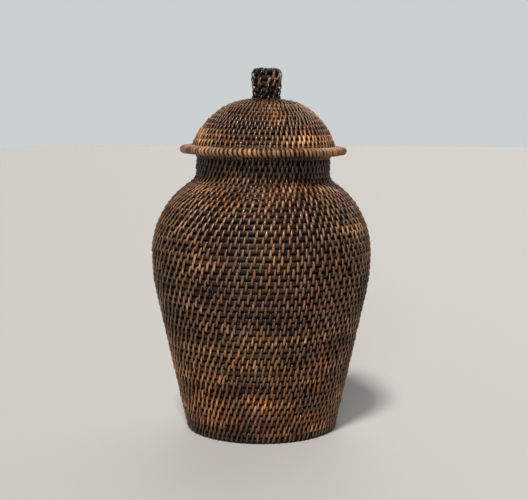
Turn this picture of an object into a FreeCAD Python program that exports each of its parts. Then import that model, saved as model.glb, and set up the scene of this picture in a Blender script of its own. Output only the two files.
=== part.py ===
import FreeCAD, Part
import math
import os

# A lidded ginger-jar basket of coiled rattan. Millimetres, +Z up. The origin is the centre of
# the foot, on the surface that the jar stands on.
#
# The basket is built as a coiled basket is: rows of round cane, laid one on the next, and
# strips of peel stitched round each row and the row beside it. Each region of the wall is two
# pieces here, its canes and the binding that is wrapped round them. The long spiral of cane is
# closed up into level rings, one a turn.

# Rows of cane
CANE_RADIUS = 2.5
PEEL_THICKNESS = 0.8
ROW_RADIUS = CANE_RADIUS + PEEL_THICKNESS
CANE_CLEARANCE = 0.1  # between a cane and the binding round it

# Jar wall, along the centre line of its rows from the foot up. A stretch is its length and
# the angle in degrees that it turns towards the axis.
FOOT_LINE_RADIUS = 76.4
FOOT_WEAR = 0.3  # the foot row is worn flat by this much
WALL_LEAN = 12.4  # degrees out from vertical, at the foot
WALL_LENGTH = 144.2
BELLY_CURVE = 214.9
SHOULDER_CURVE = 84.7
SHOULDER_TURN = 57.6
NECK_CURVE = 13.4
NECK_LENGTH = 23.0
WALL_ROWS = 50
LOWER_WALL_ROWS = 21
BELLY_ROWS = 12
SHOULDER_ROWS = 11

# Floor of the jar, a flat coil that sits just clear of the table inside the foot row
FLOOR_ROWS = 12
FLOOR_CENTRE_RADIUS = 3.2
FLOOR_EDGE_RADIUS = 69.9
FLOOR_HEIGHT = 5.0

# Lid dome, along the centre line of its rows from under the knob out and down
DOME_TOP = 348.2
DOME_START_RADIUS = 17.2
CROWN_CURVE = 129.7
CROWN_TURN = 12.2
DOME_CURVE = 44.1
DOME_TURN = 20.6
DOME_SIDE_CURVE = 75.4
DOME_SIDE_TURN = 37.0
DOME_ROWS = 13
CROWN_ROWS = 4
DOME_SHOULDER_ROWS = 4

# Knob. Its side rows run from the top down to the flare, where they meet the dome.
KNOB_PEG_RADIUS = 1.95
KNOB_INNER_RADIUS = 5.4
KNOB_SIDE_RADII = (11.9, 12.5, 12.1, 11.1, 10.6, 11.4)
KNOB_TOP = 379.2
KNOB_PITCH = 6.2

# Rim of the lid, two thicker canes side by side in one wrap
RIM_CANE_RADIUS = 3.0
RIM_CANE_SPACING = 6.1
RIM_PEEL_THICKNESS = 0.9
RIM_HALF_THICKNESS = RIM_CANE_RADIUS + CANE_CLEARANCE + RIM_PEEL_THICKNESS
RIM_EDGE_RADIUS = 88.1
RIM_HEIGHT = 297.6

# Seat row and collar of the lid
SEAT_CLEARANCE = 0.02  # between the seat row and the two dome rows that it is tied to
COLLAR_LINK_RADIUS = 60.0
COLLAR_LINK_DROP = 1.5
COLLAR_LINE_RADIUS = 59.0
COLLAR_PITCH = 6.3
COLLAR_ROWS = 3

FULL_TURN = 360
UP = FreeCAD.Vector(0, 0, 1)
ORIGIN = FreeCAD.Vector(0, 0, 0)


def along(point, heading, length, turn, distance):
    """The place and heading a distance along a stretch from a point (radius, height)."""
    bend = math.radians(turn) * distance / length
    chord = distance
    if bend:
        chord = distance * math.sin(bend / 2) / (bend / 2)
    middle = heading + bend / 2
    place = (point[0] + chord * math.cos(middle), point[1] + chord * math.sin(middle))
    return place, heading + bend


def spaced_rows(start, heading, stretches, count):
    """Centres of rows spaced evenly from one end of a line of stretches to the other."""
    pitch = sum(length for length, _ in stretches) / (count - 1)
    rows = []
    for index in range(count):
        left = pitch * index
        point = start
        facing = math.radians(heading)
        for length, turn in stretches:
            step = min(left, length)
            point, facing = along(point, facing, length, turn, step)
            left -= step
        rows.append(point)
    return rows


def arc_stretch(radius, turn):
    """A stretch that turns through an angle, in degrees, at a radius."""
    return radius * abs(math.radians(turn)), turn


def vector(point):
    return FreeCAD.Vector(point[0], 0, point[1])


def direction(start, end):
    gap = math.dist(start, end)
    return (end[0] - start[0]) / gap, (end[1] - start[1]) / gap


def beside(point, facing, side, reach):
    """A point to one side of another: side 1 is right of the way it faces, and -1 is left."""
    return point[0] + side * reach * facing[1], point[1] - side * reach * facing[0]


def valley(row, next_row, side):
    """Where the outlines of two rows meet, on one side of the line between them."""
    middle = ((row[0] + next_row[0]) / 2, (row[1] + next_row[1]) / 2)
    half_gap = math.dist(row, next_row) / 2
    reach = math.sqrt(ROW_RADIUS**2 - half_gap**2)
    return beside(middle, direction(row, next_row), side, reach)


def crest(before, row, after, side):
    """The point of a row's outline that stands furthest out on one side."""
    return beside(row, direction(before, after), side, ROW_RADIUS)


def row_end(row, beyond):
    """The end of a row's outline where no row follows it."""
    facing = direction(row, beyond)
    return row[0] + ROW_RADIUS * facing[0], row[1] + ROW_RADIUS * facing[1]


def mirrored(row, next_row):
    """The place opposite the next row, where a row before the first one would be."""
    return 2 * row[0] - next_row[0], 2 * row[1] - next_row[1]


def outline_side(rows, before, after, side):
    """Arcs over one side of the rows. Without a row before or after, the end is rounded."""
    first = before or mirrored(rows[0], (rows + [after])[1])
    last = after or mirrored(rows[-1], ([before] + rows)[-2])
    line = [first] + rows + [last]
    knots = [valley(line[i], line[i + 1], side) for i in range(len(line) - 1)]
    if before is None:
        knots[0] = row_end(rows[0], first)
    if after is None:
        knots[-1] = row_end(rows[-1], last)
    arcs = []
    for i in range(len(rows)):
        top = crest(line[i], line[i + 1], line[i + 2], side)
        arcs.append(Part.Arc(vector(knots[i]), vector(top), vector(knots[i + 1])).toShape())
    return arcs, knots[0], knots[-1]


def ring_wire(row, radius):
    return Part.Wire(Part.makeCircle(radius, vector(row), FreeCAD.Vector(0, 1, 0)))


def revolved(wires):
    """The solid of revolution of an outline, less any outlines inside it."""
    face = Part.makeFace(wires, "Part::FaceMakerBullseye")
    return face.revolve(ORIGIN, UP, FULL_TURN)


def binding(rows, before=None, after=None):
    """The peel round some rows, with a channel for each cane. It stops half way to a
    neighbouring row, and is rounded where it has no neighbour."""
    right, right_start, right_end = outline_side(rows, before, after, 1)
    left, left_start, left_end = outline_side(rows, before, after, -1)
    edges = right + left
    if before is not None:
        edges.append(Part.makeLine(vector(left_start), vector(right_start)))
    if after is not None:
        edges.append(Part.makeLine(vector(left_end), vector(right_end)))
    outline = Part.Wire(Part.__sortEdges__(edges))
    channels = [ring_wire(row, CANE_RADIUS + CANE_CLEARANCE) for row in rows]
    return revolved([outline] + channels)


def canes(rows, radius=CANE_RADIUS):
    """One ring of round cane for each row."""
    rings = [Part.makeTorus(row[0], radius, FreeCAD.Vector(0, 0, row[1])) for row in rows]
    return Part.makeCompound(rings)


def pair_wire(inner, outer, reach):
    """An outline at an even distance round two level rows, side by side."""
    above, below = reach * UP, -reach * UP
    sideways = FreeCAD.Vector(reach, 0, 0)
    inner, outer = vector(inner), vector(outer)
    edges = [
        Part.makeLine(inner + above, outer + above),
        Part.Arc(outer + above, outer + sideways, outer + below).toShape(),
        Part.makeLine(outer + below, inner + below),
        Part.Arc(inner + below, inner - sideways, inner + above).toShape(),
    ]
    return Part.Wire(edges)


def pair_wrap(inner, outer):
    """Peel wrapped closely round the two canes of the lid's rim."""
    outline = pair_wire(inner, outer, RIM_HALF_THICKNESS)
    return revolved([outline, pair_wire(inner, outer, RIM_CANE_RADIUS + CANE_CLEARANCE)])


def wall_rows():
    """Rows of the jar's wall, from the foot row to the mouth rim."""
    start = (FOOT_LINE_RADIUS, ROW_RADIUS - FOOT_WEAR)
    stretches = [
        (WALL_LENGTH, 0),
        arc_stretch(BELLY_CURVE, WALL_LEAN),
        arc_stretch(SHOULDER_CURVE, SHOULDER_TURN),
        arc_stretch(NECK_CURVE, -SHOULDER_TURN),
        (NECK_LENGTH, 0),
    ]
    return spaced_rows(start, 90 - WALL_LEAN, stretches, WALL_ROWS)


def floor_rows():
    """Rows of the jar's floor, from its centre out."""
    pitch = (FLOOR_EDGE_RADIUS - FLOOR_CENTRE_RADIUS) / (FLOOR_ROWS - 1)
    return [(FLOOR_CENTRE_RADIUS + pitch * i, FLOOR_HEIGHT) for i in range(FLOOR_ROWS)]


def dome_rows():
    """Rows of the lid's dome, from beside the knob to its lower edge."""
    hidden_turn = math.degrees(math.asin(DOME_START_RADIUS / CROWN_CURVE))
    drop = CROWN_CURVE * (1 - math.cos(math.radians(hidden_turn)))
    stretches = [
        arc_stretch(CROWN_CURVE, hidden_turn - CROWN_TURN),
        arc_stretch(DOME_CURVE, -DOME_TURN),
        arc_stretch(DOME_SIDE_CURVE, -DOME_SIDE_TURN),
    ]
    return spaced_rows((DOME_START_RADIUS, DOME_TOP - drop), -hidden_turn, stretches, DOME_ROWS)


def knob_rows():
    """Rows of the knob, from the middle of its top, out, and down to its flared foot."""
    side = [(radius, KNOB_TOP - KNOB_PITCH * i) for i, radius in enumerate(KNOB_SIDE_RADII)]
    return [(KNOB_INNER_RADIUS, KNOB_TOP)] + side


def rim_rows():
    """The two rows of the lid's rim, the inner and then the outer."""
    outer = RIM_EDGE_RADIUS - RIM_HALF_THICKNESS
    return [(outer - RIM_CANE_SPACING, RIM_HEIGHT), (outer, RIM_HEIGHT)]


def seat_row(upper, lower):
    """The row inside the dome's lower edge, which rests on the mouth rim. It lies against
    the dome's last two rows."""
    middle = ((upper[0] + lower[0]) / 2, (upper[1] + lower[1]) / 2)
    half_gap = math.dist(upper, lower) / 2
    reach = math.sqrt((2 * ROW_RADIUS + SEAT_CLEARANCE) ** 2 - half_gap**2)
    return beside(middle, direction(upper, lower), 1, reach)


def collar_rows(seat):
    """Rows of the collar, which hangs from the seat row inside the jar's neck."""
    link = (COLLAR_LINK_RADIUS, seat[1] - COLLAR_LINK_DROP)
    step_in = COLLAR_LINK_RADIUS - COLLAR_LINE_RADIUS
    top = link[1] - math.sqrt(COLLAR_PITCH**2 - step_in**2)
    return [link] + [(COLLAR_LINE_RADIUS, top - COLLAR_PITCH * i) for i in range(COLLAR_ROWS)]


def worn_foot(wrap):
    """The foot row's binding, worn flat where the jar stands."""
    reach = FOOT_LINE_RADIUS + ROW_RADIUS
    corner = FreeCAD.Vector(-reach, -reach, -ROW_RADIUS)
    below_table = Part.makeBox(2 * reach, 2 * reach, ROW_RADIUS, corner)
    return wrap.cut(below_table)


def jar_parts():
    floor = floor_rows()
    wall = wall_rows()
    foot = wall[0]
    lower_wall = wall[1 : 1 + LOWER_WALL_ROWS]
    belly = wall[1 + LOWER_WALL_ROWS :][:BELLY_ROWS]
    shoulder = wall[1 + LOWER_WALL_ROWS + BELLY_ROWS :][:SHOULDER_ROWS]
    neck = wall[1 + LOWER_WALL_ROWS + BELLY_ROWS + SHOULDER_ROWS : -1]
    mouth = wall[-1]
    centre = mirrored(floor[0], (3 * FLOOR_CENTRE_RADIUS, FLOOR_HEIGHT))
    return {
        "floor_canes": canes(floor),
        "floor_binding": binding(floor, before=centre),
        "foot_cane": canes([foot]),
        "foot_wrap": worn_foot(binding([foot], after=lower_wall[0])),
        "lower_wall_canes": canes(lower_wall),
        "lower_wall_binding": binding(lower_wall, before=foot, after=belly[0]),
        "belly_canes": canes(belly),
        "belly_binding": binding(belly, before=lower_wall[-1], after=shoulder[0]),
        "shoulder_canes": canes(shoulder),
        "shoulder_binding": binding(shoulder, before=belly[-1], after=neck[0]),
        "neck_canes": canes(neck),
        "neck_binding": binding(neck, before=shoulder[-1], after=mouth),
        "mouth_rim_cane": canes([mouth]),
        "mouth_rim_wrap": binding([mouth], before=neck[-1]),
    }


def lid_parts():
    knob = knob_rows()
    dome = dome_rows()
    crown = dome[:CROWN_ROWS]
    shoulder = dome[CROWN_ROWS : CROWN_ROWS + DOME_SHOULDER_ROWS]
    side = dome[CROWN_ROWS + DOME_SHOULDER_ROWS :]
    seat = seat_row(dome[-2], dome[-1])
    collar = collar_rows(seat)
    rim = rim_rows()
    peg_foot = FreeCAD.Vector(0, 0, KNOB_TOP - ROW_RADIUS)
    return {
        "knob_centre_peg": Part.makeCylinder(KNOB_PEG_RADIUS, 2 * ROW_RADIUS, peg_foot),
        "knob_canes": canes(knob),
        "knob_binding": binding(knob, after=crown[0]),
        "crown_canes": canes(crown),
        "crown_binding": binding(crown, before=knob[-1], after=shoulder[0]),
        "dome_shoulder_canes": canes(shoulder),
        "dome_shoulder_binding": binding(shoulder, before=crown[-1], after=side[0]),
        "dome_side_canes": canes(side),
        "dome_side_binding": binding(side, before=shoulder[-1]),
        "lid_rim_canes": canes(rim, RIM_CANE_RADIUS),
        "lid_rim_wrap": pair_wrap(*rim),
        "lid_seat_cane": canes([seat]),
        "lid_seat_wrap": binding([seat], after=collar[0]),
        "collar_canes": canes(collar),
        "collar_binding": binding(collar, before=seat),
    }


os.makedirs("parts", exist_ok=True)
for name, shape in {**jar_parts(), **lid_parts()}.items():
    shape.exportStep(f"parts/{name}.step")
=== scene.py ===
import math
from dataclasses import dataclass

import bpy
import numpy as np
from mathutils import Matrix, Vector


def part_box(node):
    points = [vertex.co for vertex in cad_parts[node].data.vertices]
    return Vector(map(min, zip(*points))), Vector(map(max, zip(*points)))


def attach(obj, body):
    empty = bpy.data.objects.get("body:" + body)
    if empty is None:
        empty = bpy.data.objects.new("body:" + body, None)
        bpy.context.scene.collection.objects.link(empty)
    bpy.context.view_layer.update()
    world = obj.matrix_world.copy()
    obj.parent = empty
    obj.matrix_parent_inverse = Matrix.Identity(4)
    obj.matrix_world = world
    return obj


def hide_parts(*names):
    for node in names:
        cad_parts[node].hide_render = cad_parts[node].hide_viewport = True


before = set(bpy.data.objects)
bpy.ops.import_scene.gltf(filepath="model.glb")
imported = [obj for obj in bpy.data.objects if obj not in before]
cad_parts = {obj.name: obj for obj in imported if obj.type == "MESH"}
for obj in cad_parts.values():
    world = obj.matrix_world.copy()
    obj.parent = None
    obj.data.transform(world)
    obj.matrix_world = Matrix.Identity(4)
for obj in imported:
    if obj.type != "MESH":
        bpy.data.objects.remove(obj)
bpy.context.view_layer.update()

# A lidded jar of coiled rattan: round cane laid in level rows, and a strip of peel wound round
# each row and part of the row before it. Metres, in the CAD frame. The jar's axis is Z.
# Azimuth 0 faces the camera, towards -Y, and grows to its right.

MM = 0.001
TURN = 2 * math.pi
RNG = np.random.default_rng(11)

# Cane, pressed a little oval between its neighbours
CANE_RADIUS = 2.5 * MM
CANE_PRESSED = 1.27  # its width along the wall, by its thickness
CANE_SIDES = 12
CANE_STEP = 4 * MM  # length of a facet along a cane
CANE_THICKNESS_VARIATION = 0.035
WELD = 0.01 * MM  # points closer than this are one point

# Peel
PEEL_THICKNESS = 0.8 * MM
PEEL_FULLNESS = 0.3  # how much thicker it stands where nothing presses it, as a share
PEEL_BULGE = 0.75 * MM  # where a stitch lies over the row before, on top of that row's own peel
PEEL_LIFT = 0.03 * MM  # between a cane and the strip on it
PEEL_SECTION = ((-1, 0), (-0.66, 0.78), (0, 1), (0.66, 0.78), (1, 0))  # across, thick
PEEL_SIDES = len(PEEL_SECTION)
EDGE_PAINTED_LIGHTNESS = 0.3  # how light the painted shade leaves a strip's edges, where its middle is at 1
BRIDGE_SHARE = 0.7  # of the way down a stitch: where it turns in round the row before
HELD_SHARE = 0.62  # the share of the row before that a stitch is wound round

# How uneven stitches are, each as the spread of a normal draw: their place and width as shares
# of their own, their slant as a share, and how far they stand loose
PLACE_SPREAD = 0.09
WIDTH_SPREAD = 0.09
SLANT_SPREAD = 0.25
LOOSE_SPREAD = 0.12 * MM
BRICK_SHIFT = 0.5  # of a stitch, from each row to the next
BRICK_SPREAD = 0.08

# A row uses several lengths of peel, each this many stitches long and with a tone of its own
LENGTH_OF_PEEL = (5, 30)
LENGTH_TONES = (0.1, 0.9)
LENGTH_WEIGHT = 0.55
STITCH_WEIGHT = 0.45

# Stitches of the jar's wall, from the foot to where they settle
SETTLED_ROW = 30
WALL_STITCHES = (91, 79)
WALL_SLANTS = (3.6 * MM, 2.2 * MM)
WALL_WIDTHS = (2.7 * MM, 2.9 * MM)

# Stitches of the rest: spacing along the row, width, slant
FLOOR_SPACING, FLOOR_WIDTH, FLOOR_SLANT = 6 * MM, 3.0 * MM, 2 * MM
MOUTH_SPACING, MOUTH_WIDTH, MOUTH_SLANT = 3.4 * MM, 3.1 * MM, 0.8 * MM
KNOB_SPACING, KNOB_WIDTH, KNOB_SLANT = 6.8 * MM, 2.6 * MM, -4.4 * MM
DOME_SPACING, DOME_WIDTH, DOME_SLANT = 4.3 * MM, 2.6 * MM, -1.0 * MM
RIM_SPACING, RIM_WIDTH, RIM_SLANT = 4.7 * MM, 4.0 * MM, 0.8 * MM
COLLAR_WIDTH, COLLAR_SLANT = 2.8 * MM, 2.0 * MM
FEWEST_STITCHES = 6
MOST_DOME_STITCHES = 78
COLLAR_STITCHES = 70
KNOB_UNEVEN = 1.5
RIM_UNEVEN = 0.7
RIM_PEEL_THICKNESS = 1.0 * MM

# Unevenness of a hand-made row
SWAY = 0.16 * MM
SWAY_WAVES = (2, 3, 5, 8, 13)
TABLE_CLEARANCE = 0.02 * MM

# Made by eye, the upper part of the basket leans a little to the right and sits a little
# askew, lower on the right and higher in front. The knob stands off centre on the dome.
LEAN_HEIGHTS = (0.22, 0.30, 0.345, 0.36)
LEAN = (0, 2.4 * MM, 4.7 * MM, 5.8 * MM)
ASKEW_FROM = 0.22
ASKEW_TO = 0.29
ASKEW = (0.014, 0.011)

# The stain took unevenly up the basket: darker or lighter, and from dull brown to orange.
# The jar's rows are darker at the foot, and darkest at the top of the neck, under the lid's
# rim, where the darkening is partly stain and partly painted shadow of the rim.
STAIN_AND_SHADOW_HEIGHTS = (0.003, 0.01, 0.03, 0.075, 0.11, 0.19, 0.215, 0.25, 0.257, 0.265, 0.29)
STAIN_AND_RIM_SHADOW = (-0.45, -0.3, 0.02, 0.12, 0.04, -0.02, 0.05, 0.04, -0.08, -0.3, -0.6)
LID_STAIN_HEIGHTS = (0.3, 0.308, 0.315, 0.328, 0.338, 0.344, 0.347, 0.36)
LID_STAIN = (0.05, 0.15, -0.05, -0.25, -0.05, -0.15, -0.5, -0.3)
WARM_HEIGHTS = (0, 0.06, 0.1, 0.2, 0.235, 0.255, 0.27, 0.3)
WARMTH = (0.6, 0.6, 0.25, 0.0, 0.1, 0.6, 0.2, 0.3)


@dataclass
class Row:
    """A level ring of cane. step and out are directions in profile, (radial, vertical): away
    from the row before it, and out of the basket."""

    radius: float
    height: float
    pitch: float
    step: tuple
    out: tuple
    sway: np.ndarray
    lift: np.ndarray
    # a row's tone from its stain; at the top of the jar's neck it is also painted shadow of the lid's rim
    stain_and_shade: float
    warmth: float


@dataclass
class Stitching:
    """How a strip is wound on a row: its width, the sideways run of one stitch's face, and
    how uneven the stitches are."""

    count: int
    width: float
    slant: float
    uneven: float = 1.0
    phase: float = 0.0
    hold: float = HELD_SHARE
    bare: bool = False  # no row lies beyond it, so it gets no painted shade where it turns in between rows


# ---------------------------------------------------------------- rows of the CAD model


def cane_rings(node):
    """The (radius, height) of each ring of cane in a CAD node."""
    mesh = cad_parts[node].data
    places = np.empty(len(mesh.vertices) * 3)
    mesh.vertices.foreach_get("co", places)
    places = places.reshape(-1, 3)
    _, weld = np.unique(np.round(places / WELD).astype(int), axis=0, return_inverse=True)
    weld = weld.reshape(-1)
    ends = np.empty(len(mesh.edges) * 2, dtype=int)
    mesh.edges.foreach_get("vertices", ends)
    start, end = weld[ends].reshape(-1, 2).T
    label = np.arange(weld.max() + 1)
    settled = False
    while not settled:
        spread = label.copy()
        np.minimum.at(spread, start, label[end])
        np.minimum.at(spread, end, label[start])
        spread = spread[spread]
        settled = np.array_equal(spread, label)
        label = spread
    rings = []
    for ring in np.unique(label):
        points = places[label[weld] == ring]
        reach = np.hypot(points[:, 0], points[:, 1])
        rings.append((middle(reach), middle(points[:, 2])))
    return rings


def middle(values):
    return (values.min() + values.max()) / 2


def linked(centres, before, outward, stain_and_shade_tables=(STAIN_AND_SHADOW_HEIGHTS, STAIN_AND_RIM_SHADOW), sway=SWAY):
    """Rows for the centres in order. outward is 1 where the outside of the basket is to the
    right of the way the rows run in profile, and -1 where it is to the left."""
    rows = []
    for radius, height in centres:
        start = before or (0, height)
        gap = math.dist(start, (radius, height))
        pitch = gap if before else 0
        step = ((radius - start[0]) / gap, (height - start[1]) / gap)
        out = (outward * step[1], -outward * step[0])
        waves = RNG.normal(size=(2, 2, len(SWAY_WAVES))) * sway / math.sqrt(len(SWAY_WAVES))
        stain_and_shade = np.interp(height, *stain_and_shade_tables)
        warmth = np.interp(height, WARM_HEIGHTS, WARMTH)
        rows.append(Row(radius, height, pitch, step, out, waves[0], waves[1], stain_and_shade, warmth))
        before = (radius, height)
    return rows


def wavy(waves, azimuth):
    """A smooth unevenness round a row."""
    total = np.zeros_like(azimuth)
    for number, across, along in zip(SWAY_WAVES, *waves):
        total += across * np.sin(number * azimuth) + along * np.cos(number * azimuth)
    return total


def place(row, azimuth, out, up):
    """Points beside a row's centre line: out of the basket, and up its wall."""
    reach = row.radius + out * row.out[0] + up * row.step[0] + wavy(row.sway, azimuth)
    height = row.height + out * row.out[1] + up * row.step[1] + wavy(row.lift, azimuth)
    height = np.maximum(height, TABLE_CLEARANCE)
    x, y = reach * np.sin(azimuth), -reach * np.cos(azimuth)
    lean = np.interp(height, LEAN_HEIGHTS, LEAN)
    askew = np.clip((row.height - ASKEW_FROM) / (ASKEW_TO - ASKEW_FROM), 0, 1)
    height = height - askew * (ASKEW[0] * x + ASKEW[1] * y)
    return np.stack([x + lean, y, height], axis=-1)


# ---------------------------------------------------------------- meshes


class Weave:
    """Collects closed tubes of quads, with what the materials read at each point: grain, the
    place on the strip across and along it, and stain and painted shade: how light it is, how light
    the painted shade in hollows and along a strip's edges leaves it, and how warm its stain is."""

    def __init__(self):
        self.points = []
        self.faces = []
        self.grain = []
        self.stain_and_painted_shade = []
        self.total = 0

    def add_tube(self, points, grain, stain_and_painted_shade):
        """points is (stations, sides, 3), closed both ways."""
        stations, sides = points.shape[:2]
        index = self.total + np.arange(stations * sides).reshape(stations, sides)
        ahead = np.roll(index, -1, axis=0)
        faces = np.stack([index, ahead, np.roll(ahead, -1, axis=1), np.roll(index, -1, axis=1)], axis=-1)
        self.points.append(points.reshape(-1, 3))
        self.grain.append(grain.reshape(-1, 3))
        self.stain_and_painted_shade.append(stain_and_painted_shade.reshape(-1, 3))
        self.faces.append(faces.reshape(-1, 4))
        self.total += stations * sides

    def build(self, name, material, body, *replaced):
        points = np.concatenate(self.points)
        faces = np.concatenate(self.faces)
        mesh = bpy.data.meshes.new(name)
        mesh.vertices.add(len(points))
        mesh.vertices.foreach_set("co", points.ravel())
        mesh.loops.add(faces.size)
        mesh.loops.foreach_set("vertex_index", faces.ravel())
        mesh.polygons.add(len(faces))
        mesh.polygons.foreach_set("loop_start", np.arange(0, faces.size, 4))
        mesh.polygons.foreach_set("use_smooth", np.ones(len(faces), dtype=bool))
        for label, values in (("grain", self.grain), ("stain_and_painted_shade", self.stain_and_painted_shade)):
            layer = mesh.attributes.new(label, "FLOAT_VECTOR", "POINT")
            layer.data.foreach_set("vector", np.concatenate(values).ravel())
        mesh.update(calc_edges=True)
        mesh.validate()
        mesh.materials.append(material)
        piece = bpy.data.objects.new(name, mesh)
        bpy.context.scene.collection.objects.link(piece)
        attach(piece, body)
        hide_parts(*replaced)
        return piece


def grain_start():
    """Where in the grain's noise a cane or strip begins, so that no two are alike."""
    return RNG.uniform(0, 50)


def lay_cane(weave, row, radius, pressed):
    """One ring of round cane."""
    stations = max(CANE_SIDES, round(TURN * row.radius / CANE_STEP))
    azimuth = (TURN * np.arange(stations) / stations)[:, None]
    side = (TURN * np.arange(CANE_SIDES) / CANE_SIDES)[None, :]
    thickness = radius * (1 + CANE_THICKNESS_VARIATION * wavy(row.lift / SWAY, azimuth))
    out, up = thickness * np.cos(side), thickness * pressed * np.sin(side)
    azimuth = azimuth + 0 * side
    points = place(row, azimuth, out, up)
    tag = grain_start()
    grain = np.stack([side * radius + 0 * azimuth, azimuth * row.radius, 0 * azimuth + tag], axis=-1)
    tone = np.clip(RNG.uniform() + row.stain_and_shade, 0, 1)
    # Painted shade: each cane is painted darker towards its top and bottom, where it meets the rows beside
    # it, and darkest on its inner half
    painted_lightness = np.maximum(np.cos(side) + 0 * azimuth, 0)
    stain_and_painted_shade = np.stack([0 * azimuth + tone, painted_lightness, 0 * azimuth + row.warmth], axis=-1)
    weave.add_tube(points, grain, stain_and_painted_shade)


def strip_path(reach, pitch, share):
    """One turn of a strip in profile, from the top of a row down its outside, round a share of
    the row before it, and back up its inside: out, up, and the number of points outside."""
    cap = np.radians([0, 30, 60, 90])
    dip = np.radians([0, 45, 90])
    far = 2 * share - 1  # from -1 at the near side of the row before to 1 at its far side
    bottom = -pitch - far * reach
    bridge = min(pitch, BRIDGE_SHARE * (pitch + far * reach))
    bulge = np.array([1, 0.9, 0]) * PEEL_BULGE
    out = np.concatenate([reach * np.sin(cap), [reach + PEEL_BULGE / 2], reach * np.cos(dip) + bulge])
    up = np.concatenate([reach * np.cos(cap), [-bridge / 2], -bridge + (bottom + bridge) * np.sin(dip)])
    if pitch == 0:
        out, up = np.delete(out, [4, 5]), np.delete(up, [4, 5])
    inside = slice(-2, 0, -1)
    return np.concatenate([out, -out[inside]]), np.concatenate([up, up[inside]]), len(out)


def wind_strip(weave, row, stitching, reach=CANE_RADIUS + PEEL_LIFT, thickness=PEEL_THICKNESS):
    """A strip of peel wound round a row and part of the row before it."""
    out, up, face = strip_path(reach, row.pitch, stitching.hold)
    steps = len(out)
    run = np.hypot(np.diff(out, append=out[0]), np.diff(up, append=up[0]))
    along = np.concatenate([[0], np.cumsum(run)[:-1]])
    ahead_out, ahead_up = np.roll(out, -1) - np.roll(out, 1), np.roll(up, -1) - np.roll(up, 1)
    length = np.hypot(ahead_out, ahead_up)
    normal_out, normal_up = -ahead_up / length, ahead_out / length

    # down runs from 0 to 1 on the outside of the stitch, and carry from 0 to 1 on the inside
    down = np.minimum(np.arange(steps) / (face - 1), 1)
    carry = np.maximum(np.arange(steps) - (face - 1), 0) / (steps - face + 1)

    count = stitching.count
    spacing = TURN / count
    ragged = RNG.normal(size=(4, count)) * stitching.uneven
    azimuth = -spacing * (np.arange(count) + PLACE_SPREAD * ragged[0]) + spacing * stitching.phase
    slant = stitching.slant * (1 + SLANT_SPREAD * ragged[1]) / row.radius
    width = stitching.width * (1 + WIDTH_SPREAD * np.clip(ragged[2], -2, 2))
    loose = LOOSE_SPREAD * np.abs(ragged[3])
    tone = strip_tones(count, row.stain_and_shade)

    def at(values, following):
        """Values for each point: a stitch's own on its face, then turning to the next one's."""
        return values[:, None] * (1 - carry) + following[:, None] * carry

    top = azimuth + slant / 2
    next_top = np.roll(top, -1)
    next_top[-1] -= TURN
    centre = at(azimuth, next_top) + (slant[:, None] * (0.5 - down)) * (1 - carry)
    wide = at(width, np.roll(width, -1))
    off = at(loose, np.roll(loose, -1)) * np.clip(out / reach, 0, 1)
    shade = at(tone, np.roll(tone, -1))

    across, thick = np.array(PEEL_SECTION).T
    full = 1 + PEEL_FULLNESS * np.clip(out / reach, 0, 1)
    stand = off[..., None] + thick * thickness * full[None, :, None]
    side = across * wide[..., None] / 2
    points = place(
        row,
        centre[..., None] + side / row.radius,
        out[None, :, None] + stand * normal_out[None, :, None],
        up[None, :, None] + stand * normal_up[None, :, None],
    )
    # Painted shade: a strip is painted darker where it turns in between the rows and along its edges; a bare
    # strip only along its edges
    painted_light_along = np.ones_like(out) if stitching.bare else np.abs(out / reach)
    painted_light_along = painted_light_along[None, :, None]
    painted_lightness = painted_light_along * (EDGE_PAINTED_LIGHTNESS + (1 - EDGE_PAINTED_LIGHTNESS) * thick) + 0 * side
    shape = side.shape
    lengthwise = along[None, :, None] + (np.arange(count) * run.sum())[:, None, None] + 0 * side
    tag = np.full(shape, grain_start())
    grain = np.stack([side, lengthwise, tag], axis=-1)
    stain_and_painted_shade = np.stack([shade[..., None] + 0 * side, painted_lightness, np.full(shape, row.warmth)], axis=-1)
    tube = (-1, PEEL_SIDES, 3)
    weave.add_tube(points.reshape(tube), grain.reshape(tube), stain_and_painted_shade.reshape(tube))


def strip_tones(count, stain_and_shade):
    """A tone from 0 to 1 for each stitch: its length of peel's, and lighter or darker."""
    tones = np.empty(count)
    start = 0
    while start < count:
        length = RNG.integers(*LENGTH_OF_PEEL)
        tones[start : start + length] = RNG.uniform(*LENGTH_TONES)
        start += length
    own = RNG.uniform(0, 1, count)
    return np.clip(LENGTH_WEIGHT * tones + STITCH_WEIGHT * own + stain_and_shade, 0, 1)


# ---------------------------------------------------------------- materials


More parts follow.
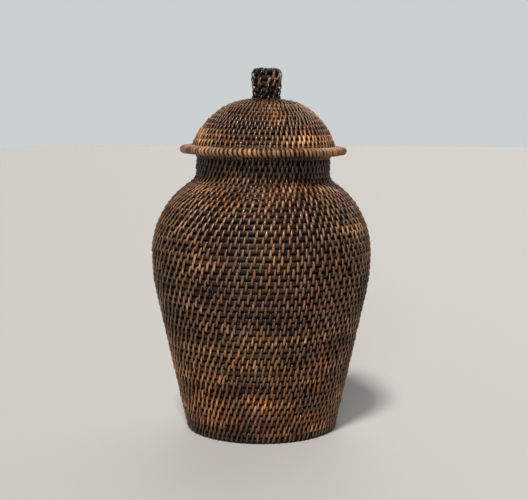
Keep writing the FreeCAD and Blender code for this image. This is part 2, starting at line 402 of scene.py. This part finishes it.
class Nodes:
    """A short way to write a node tree."""

    def __init__(self, name):
        self.material = bpy.data.materials.new(name)
        self.material.use_nodes = True
        self.tree = self.material.node_tree
        self.shader = self.tree.nodes["Principled BSDF"]

    def add(self, kind, **inputs):
        settings = inputs.pop("settings", {})
        node = self.tree.nodes.new(kind)
        for key, value in settings.items():
            setattr(node, key, value)
        for key, value in inputs.items():
            self.feed(node.inputs[key.replace("_", " ")], value)
        return node

    def feed(self, socket, value):
        if isinstance(value, bpy.types.NodeSocket):
            self.tree.links.new(value, socket)
        else:
            socket.default_value = value

    def maths(self, operation, *values, clamp=False):
        node = self.tree.nodes.new("ShaderNodeMath")
        node.operation = operation
        node.use_clamp = clamp
        for socket, value in zip(node.inputs, values):
            self.feed(socket, value)
        return node.outputs[0]

    def noise(self, vector, scale, detail=3.0, roughness=0.5):
        node = self.add("ShaderNodeTexNoise", Vector=vector, Scale=scale, Detail=detail, Roughness=roughness)
        return node.outputs["Fac"]

    def stretched(self, vector, scale):
        node = self.add("ShaderNodeVectorMath", settings={"operation": "MULTIPLY"})
        self.feed(node.inputs[0], vector)
        node.inputs[1].default_value = scale
        return node.outputs[0]

    def ramp(self, value, stops):
        node = self.add("ShaderNodeValToRGB", Fac=value)
        steps = node.color_ramp.elements
        while len(steps) < len(stops):
            steps.new(0.5)
        for step, (position, colour) in zip(steps, stops):
            step.position = position
            step.color = (*colour, 1)
        return node.outputs["Color"]

    def blend(self, mode, share, first, second):
        node = self.tree.nodes.new("ShaderNodeMix")
        node.data_type = "RGBA"
        node.blend_type = mode
        self.feed(node.inputs[0], share)
        self.feed(node.inputs[6], first)
        self.feed(node.inputs[7], second)
        return node.outputs[2]

    def darkened(self, colour, share):
        """A colour times a share, which is the same for red, green and blue."""
        grey = self.add("ShaderNodeCombineColor", Red=share, Green=share, Blue=share)
        return self.blend("MULTIPLY", 1.0, colour, grey.outputs[0])


# The stain's patterns. Patches, brown or warm, are flattened blotches on the whole basket.
# Fibres and mottle run along each strip: their scales are across it, along it and between strips.
PATCH_STRETCH, PATCH_SCALE = (1, 1, 1.7), 22.0
WARM_STRETCH, WARM_SCALE = (1, 1, 2.4), 31.0
FIBRE_SCALES = (2600, 110, 1)
MOTTLE_SCALES = (500, 160, 1)
# Each pair stretches a noise, which stays near its middle, over the range that is wanted
PATCH_RANGE = (2.4, -0.7)
WARM_RANGE = (2.6, -1.3)
MOTTLE_RANGE = (0.5, -0.25)
FIBRE_SHADES = (0.7, 0.62)
# how sharply the painted shade in the hollows falls off
PAINTED_SHADE_SHARPNESS = 2.0
FIBRE_ROUGHNESS = 0.3
HOLLOW_ROUGHNESS = 0.18
FIBRE_DEPTH = 0.12 * MM


def rattan(name, stops, warm, roughness, specular, patch_weight, painted_hollow_lightness):
    """Stained rattan. stops are its colours from dark to light, warm is the tint of its warmer
    patches, patch_weight how blotchy it is, and painted_hollow_lightness how light the painted
    shade leaves the hollows and a strip's edges."""
    n = Nodes(name)
    grain = n.add("ShaderNodeAttribute", settings={"attribute_name": "grain"}).outputs["Vector"]
    stain_and_painted_shade = n.add("ShaderNodeAttribute", settings={"attribute_name": "stain_and_painted_shade"}).outputs["Vector"]
    parts = n.add("ShaderNodeSeparateXYZ", Vector=stain_and_painted_shade).outputs
    tone, painted_lightness, warmth = parts[:3]
    place_on = n.add("ShaderNodeTexCoord").outputs["Object"]

    patches = n.noise(n.stretched(place_on, PATCH_STRETCH), PATCH_SCALE, 3.0, 0.55)
    patch = n.maths("MULTIPLY_ADD", patches, *PATCH_RANGE)
    fibre = n.noise(n.stretched(grain, FIBRE_SCALES), 1.0, 3.0, 0.6)
    mottle = n.noise(n.stretched(grain, MOTTLE_SCALES), 1.0, 2.0, 0.5)

    level = n.maths("MULTIPLY_ADD", tone, 1 - patch_weight, n.maths("MULTIPLY", patch, patch_weight))
    level = n.maths("ADD", level, n.maths("MULTIPLY_ADD", mottle, *MOTTLE_RANGE), clamp=True)
    colour = n.ramp(level, stops)
    warm_patches = n.noise(n.stretched(place_on, WARM_STRETCH), WARM_SCALE, 2.0, 0.5)
    warm_patch = n.maths("MULTIPLY_ADD", warm_patches, *WARM_RANGE)
    warm_share = n.maths("ADD", warm_patch, warmth, clamp=True)
    warm_colour = n.blend("MULTIPLY", 1.0, colour, (*warm, 1))
    colour = n.blend("MIX", warm_share, colour, warm_colour)
    colour = n.darkened(colour, n.maths("MULTIPLY_ADD", fibre, *FIBRE_SHADES))
    # Painted shade: the colour is darkened in the hollows between rows and along a strip's edges
    painted_lightness_sharp = n.maths("POWER", painted_lightness, PAINTED_SHADE_SHARPNESS)
    painted_shade = n.maths("MULTIPLY_ADD", painted_lightness_sharp, 1 - painted_hollow_lightness, painted_hollow_lightness, clamp=True)
    colour = n.darkened(colour, painted_shade)

    rough = n.maths("MULTIPLY_ADD", fibre, FIBRE_ROUGHNESS, roughness - FIBRE_ROUGHNESS / 2)
    depth = n.maths("SUBTRACT", 1.0, painted_lightness)
    rough = n.maths("ADD", rough, n.maths("MULTIPLY", depth, HOLLOW_ROUGHNESS), clamp=True)
    bump = n.add("ShaderNodeBump", Height=fibre, Strength=0.35, Distance=FIBRE_DEPTH)
    n.feed(n.shader.inputs["Base Color"], colour)
    n.feed(n.shader.inputs["Roughness"], rough)
    n.feed(n.shader.inputs["Normal"], bump.outputs[0])
    n.shader.inputs["Specular IOR Level"].default_value = specular
    return n.material


PORE_SCALES = (2800, 2800, 140)
PEG_MOTTLE_SCALE = 600.0


def cut_cane():
    """The cut end of a stained cane: pores that run along it, and a paler, dry surface."""
    n = Nodes("cut_cane")
    place_on = n.add("ShaderNodeTexCoord").outputs["Object"]
    pores = n.noise(n.stretched(place_on, PORE_SCALES), 1.0, 3.0, 0.6)
    mottle = n.noise(place_on, PEG_MOTTLE_SCALE, 2.0, 0.5)
    level = n.maths("MULTIPLY_ADD", mottle, 0.5, n.maths("MULTIPLY", pores, 0.5))
    stops = [(0.25, ESPRESSO), (0.5, UMBER), (0.8, NUT_BROWN)]
    bump = n.add("ShaderNodeBump", Height=pores, Strength=0.5, Distance=0.2 * MM)
    n.feed(n.shader.inputs["Base Color"], n.ramp(level, stops))
    n.feed(n.shader.inputs["Roughness"], n.maths("MULTIPLY_ADD", pores, 0.3, 0.5))
    n.feed(n.shader.inputs["Normal"], bump.outputs[0])
    return n.material


ESPRESSO = (0.006, 0.0033, 0.002)
DARK_BROWN = (0.018, 0.009, 0.005)
UMBER = (0.058, 0.029, 0.014)
RED_BROWN = (0.08, 0.042, 0.02)
NUT_BROWN = (0.165, 0.083, 0.038)
TAN = (0.42, 0.225, 0.108)
LIGHT_TAN = (0.75, 0.48, 0.28)
ORANGE_TINT = (1.12, 0.74, 0.42)

PEEL = rattan(
    "stained_peel",
    [(0.0, DARK_BROWN), (0.25, UMBER), (0.62, NUT_BROWN), (0.87, TAN), (1.0, LIGHT_TAN)],
    ORANGE_TINT, roughness=0.3, specular=0.38, patch_weight=0.5, painted_hollow_lightness=0.03,
)
CANE = rattan(
    "stained_cane",
    [(0.0, ESPRESSO), (0.4, DARK_BROWN), (1.0, RED_BROWN)],
    ORANGE_TINT, roughness=0.4, specular=0.13, patch_weight=0.55, painted_hollow_lightness=0.03,
)
RIM_PEEL = rattan(
    "worn_rim_peel",
    [(0.0, DARK_BROWN), (0.2, UMBER), (0.5, NUT_BROWN), (0.85, TAN), (1.0, LIGHT_TAN)],
    ORANGE_TINT, roughness=0.36, specular=0.3, patch_weight=0.45, painted_hollow_lightness=0.03,
)
KNOB_PEEL = rattan(
    "dark_knob_peel",
    [(0.0, ESPRESSO), (0.25, DARK_BROWN), (0.5, NUT_BROWN), (0.8, TAN)],
    ORANGE_TINT, roughness=0.28, specular=0.45, patch_weight=0.25, painted_hollow_lightness=0.02,
)


# ---------------------------------------------------------------- the basket


def cane_piece(name, rows, body, *replaced, radius=CANE_RADIUS, pressed=CANE_PRESSED):
    weave = Weave()
    for row in rows:
        lay_cane(weave, row, radius, pressed)
    piece = weave.build(name, CANE, body, *replaced)


def peel_piece(name, rows, stitchings, body, replaced, material=PEEL):
    weave = Weave()
    for row, stitching in zip(rows, stitchings):
        wind_strip(weave, row, stitching)
    piece = weave.build(name, material, body, replaced)


def phases(rows):
    """Stitches lie like bricks: each row's are half a stitch on from those of the row before."""
    return [(BRICK_SHIFT * i + BRICK_SPREAD * RNG.normal()) % 1 for i in range(len(rows))]


def stitch_count(row, spacing):
    return round(TURN * row.radius / spacing)


def from_to(ends, share):
    """The value a share of the way from the first of two ends to the second."""
    return ends[0] + (ends[1] - ends[0]) * share


def ring_order(node, key):
    return sorted(cane_rings(node), key=key)


def by_radius(ring):
    return ring[0]


def by_height(ring):
    return ring[1]


def down_lid(ring):
    return ring[0] - ring[1]


def jar():
    floor = ring_order("floor_canes", by_radius)
    regions = {
        "foot_cane": "foot_wrap",
        "lower_wall_canes": "lower_wall_binding",
        "belly_canes": "belly_binding",
        "shoulder_canes": "shoulder_binding",
        "neck_canes": "neck_binding",
        "mouth_rim_cane": "mouth_rim_wrap",
    }
    wall = [ring_order(node, by_height) for node in regions]
    centres = floor + [ring for region in wall for ring in region]
    rows = linked(centres, None, 1)
    floor_rows, rows = rows[: len(floor)], rows[len(floor) :]
    floor_stitches = [
        Stitching(max(FEWEST_STITCHES, stitch_count(row, FLOOR_SPACING)), FLOOR_WIDTH, FLOOR_SLANT)
        for row in floor_rows
    ]
    cane_piece("floor_canes_look", floor_rows, "jar", "floor_canes")
    peel_piece("floor_binding_look", floor_rows, floor_stitches, "jar", "floor_binding")

    turn = phases(rows)
    stitches = []
    for i in range(len(rows)):
        share = min(i / SETTLED_ROW, 1)
        count = round(from_to(WALL_STITCHES, share))
        width = from_to(WALL_WIDTHS, share)
        slant = from_to(WALL_SLANTS, share)
        stitches.append(Stitching(count, width, slant, phase=turn[i]))
    count = stitch_count(rows[-1], MOUTH_SPACING)
    stitches[-1] = Stitching(count, MOUTH_WIDTH, MOUTH_SLANT, bare=True)
    for (cane, binding), region in zip(regions.items(), wall):
        part, rows = rows[: len(region)], rows[len(region) :]
        part_stitches, stitches = stitches[: len(region)], stitches[len(region) :]
        cane_piece(cane + "_look", part, "jar", cane)
        peel_piece(binding + "_look", part, part_stitches, "jar", binding)


def lid():
    knob = ring_order("knob_canes", down_lid)
    regions = ["crown", "dome_shoulder", "dome_side"]
    dome = [ring_order(region + "_canes", down_lid) for region in regions]
    stain_and_shade_tables = (LID_STAIN_HEIGHTS, LID_STAIN)
    # these rows run down the outside, so the faces of the lid's pieces wind inwards
    rows = linked(knob + [ring for region in dome for ring in region], None, -1, stain_and_shade_tables)
    knob_rows, rows = rows[: len(knob)], rows[len(knob) :]
    last = rows[-1]
    knob_stitches = []
    for row in knob_rows:
        count = max(FEWEST_STITCHES, stitch_count(row, KNOB_SPACING))
        knob_stitches.append(Stitching(count, KNOB_WIDTH, KNOB_SLANT, KNOB_UNEVEN))
    cane_piece("knob_canes_look", knob_rows, "lid", "knob_canes")
    peel_piece("knob_binding_look", knob_rows, knob_stitches, "lid", "knob_binding", KNOB_PEEL)
    turn = phases(rows)
    stitches = []
    for row, phase in zip(rows, turn):
        count = min(MOST_DOME_STITCHES, stitch_count(row, DOME_SPACING))
        stitches.append(Stitching(count, DOME_WIDTH, DOME_SLANT, phase=phase))
    for name, region in zip(regions, dome):
        part, rows = rows[: len(region)], rows[len(region) :]
        part_stitches, stitches = stitches[: len(region)], stitches[len(region) :]
        cane_piece(name + "_canes_look", part, "lid", name + "_canes")
        peel_piece(name + "_binding_look", part, part_stitches, "lid", name + "_binding")

    seat = cane_rings("lid_seat_cane")
    collar = ring_order("collar_canes", down_lid)
    hanging = linked(seat + collar, (last.radius, last.height), -1, stain_and_shade_tables, SWAY / 3)
    stitches = [
        Stitching(COLLAR_STITCHES, COLLAR_WIDTH, COLLAR_SLANT, phase=BRICK_SHIFT * i)
        for i in range(len(hanging))
    ]
    cane_piece("lid_seat_cane_look", hanging[:1], "lid", "lid_seat_cane")
    peel_piece("lid_seat_wrap_look", hanging[:1], stitches[:1], "lid", "lid_seat_wrap")
    cane_piece("collar_canes_look", hanging[1:], "lid", "collar_canes")
    peel_piece("collar_binding_look", hanging[1:], stitches[1:], "lid", "collar_binding")
    lid_rim()
    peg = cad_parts["knob_centre_peg"].data
    peg.materials.clear()
    peg.materials.append(cut_cane())


def lid_rim():
    """Two canes side by side in one close wrap. They bend together, so both sway alike."""
    low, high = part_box("lid_rim_canes")
    radius = (high.z - low.z) / 2
    rows = linked(ring_order("lid_rim_canes", by_radius), None, -1, (LID_STAIN_HEIGHTS, LID_STAIN))
    rows[0].sway, rows[0].lift = rows[1].sway, rows[1].lift
    cane_piece("lid_rim_canes_look", rows, "lid", "lid_rim_canes", radius=radius, pressed=1)
    outer = rows[1]
    count = stitch_count(outer, RIM_SPACING)
    wrap = Stitching(count, RIM_WIDTH, RIM_SLANT, RIM_UNEVEN, hold=1, bare=True)
    weave = Weave()
    wind_strip(weave, outer, wrap, radius + PEEL_LIFT, RIM_PEEL_THICKNESS)
    piece = weave.build("lid_rim_wrap_look", RIM_PEEL, "lid", "lid_rim_wrap")


# ---------------------------------------------------------------- stage


FLOOR_RADIUS = 6
FLOOR_COLOUR = (0.40, 0.39, 0.37, 1)
FLOOR_ROUGHNESS = 0.6
# The surroundings: a pale band all round at eye level, then dim overhead. The band's top and
# the overhead's start are heights of a direction that is 1 long.
BAND_COLOUR, BAND_TOP = (0.6, 0.63, 0.63, 1), 0.1
OVERHEAD_COLOUR, OVERHEAD_START = (0.08, 0.083, 0.087, 1), 0.2
# Soft lights: azimuth, elevation and spread in degrees, strength, colour
LIGHTS = {
    "key": (-14, 57, 10, 4.3, (1.0, 0.97, 0.93)),
    "fill": (-8, 22, 12, 0.9, (0.97, 0.98, 1.0)),
    "back": (165, 42, 60, 1.0, (1.0, 0.98, 0.96)),
}
LENS = 86.6
SENSOR_WIDTH = 36
EYE = (0.0028, -1.3447, 0.3698)
LOOKING_DOWN = 7.58  # degrees


def studio():
    floor_material = Nodes("pale_floor")
    floor_material.shader.inputs["Base Color"].default_value = FLOOR_COLOUR
    floor_material.shader.inputs["Roughness"].default_value = FLOOR_ROUGHNESS
    bpy.ops.mesh.primitive_circle_add(vertices=96, radius=FLOOR_RADIUS, fill_type="NGON")
    floor = bpy.context.object
    floor.name = "floor"
    floor.data.materials.append(floor_material.material)

    world = bpy.data.worlds.new("studio")
    world.use_nodes = True
    nodes, links = world.node_tree.nodes, world.node_tree.links
    direction = nodes.new("ShaderNodeTexCoord").outputs["Generated"]
    parts = nodes.new("ShaderNodeSeparateXYZ")
    shade = nodes.new("ShaderNodeValToRGB")
    links.new(direction, parts.inputs[0])
    links.new(parts.outputs["Z"], shade.inputs[0])
    links.new(shade.outputs[0], nodes["Background"].inputs["Color"])
    band, overhead = shade.color_ramp.elements
    band.position, band.color = BAND_TOP, BAND_COLOUR
    overhead.position, overhead.color = OVERHEAD_START, OVERHEAD_COLOUR
    bpy.context.scene.world = world
    bpy.context.scene.view_settings.view_transform = "Standard"
    for name, settings in LIGHTS.items():
        soft_light(name, *settings)


def soft_light(name, azimuth, elevation, spread, strength, colour):
    """A distant light at an azimuth and elevation, as seen from the basket. It looks spread
    wide. All three are in degrees."""
    light = bpy.data.lights.new(name, "SUN")
    light.angle = math.radians(spread)
    light.energy = strength
    light.color = colour
    lamp = bpy.data.objects.new(name, light)
    lamp.rotation_euler = (math.radians(90 - elevation), 0, math.radians(azimuth))
    bpy.context.scene.collection.objects.link(lamp)


def camera():
    lens = bpy.data.cameras.new("camera")
    lens.lens = LENS
    lens.sensor_width = SENSOR_WIDTH
    eye = bpy.data.objects.new("camera", lens)
    eye.location = EYE
    eye.rotation_euler = (math.radians(90 - LOOKING_DOWN), 0, 0)
    bpy.context.scene.collection.objects.link(eye)
    bpy.context.scene.camera = eye


jar()
lid()
studio()
camera()
